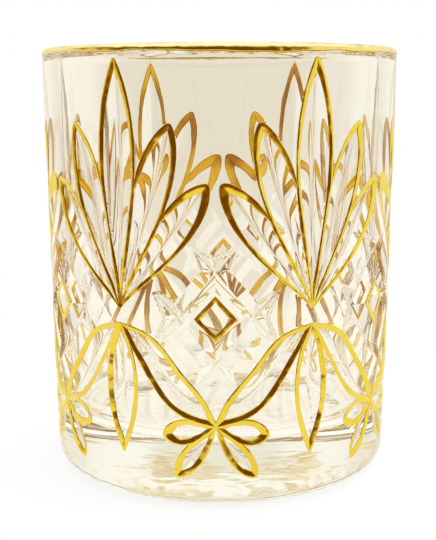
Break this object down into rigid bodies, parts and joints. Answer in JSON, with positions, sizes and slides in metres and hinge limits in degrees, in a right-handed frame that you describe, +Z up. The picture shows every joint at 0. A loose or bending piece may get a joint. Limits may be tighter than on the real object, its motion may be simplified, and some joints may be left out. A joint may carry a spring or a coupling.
{
  "type": "whisky tumbler",
  "caption": "Straight-sided whisky tumbler of clear cut glass with a thick base, V-cut leaf fans, leaf sprays, flowers and diamonds edged in gold, and a gilded lip.",
  "frame": {"origin": "middle of the foot, on the table", "axes": "+Z up through the mouth, -Y the front, midway between two leaf fans"},
  "size_m": [0.0812, 0.0812, 0.095],
  "materials": {
    "glass": "clear, fire-polished",
    "gold": "bright fired gold"
  },
  "bodies": {
    "root": {"tumbler_body": "glass", "rim_gilding": "gold", "fan_gilding_1": "gold", "leaf_spray_gilding_1": "gold", "flower_gilding_1": "gold", "diamond_gilding_1": "gold", "fan_gilding_2": "gold", "leaf_spray_gilding_2": "gold", "flower_gilding_2": "gold", "diamond_gilding_2": "gold", "fan_gilding_3": "gold", "leaf_spray_gilding_3": "gold", "flower_gilding_3": "gold", "diamond_gilding_3": "gold", "fan_gilding_4": "gold", "leaf_spray_gilding_4": "gold", "flower_gilding_4": "gold", "diamond_gilding_4": "gold", "fan_gilding_5": "gold", "leaf_spray_gilding_5": "gold", "flower_gilding_5": "gold", "diamond_gilding_5": "gold", "fan_gilding_6": "gold", "leaf_spray_gilding_6": "gold", "flower_gilding_6": "gold", "diamond_gilding_6": "gold"}
  },
  "joints": []
}
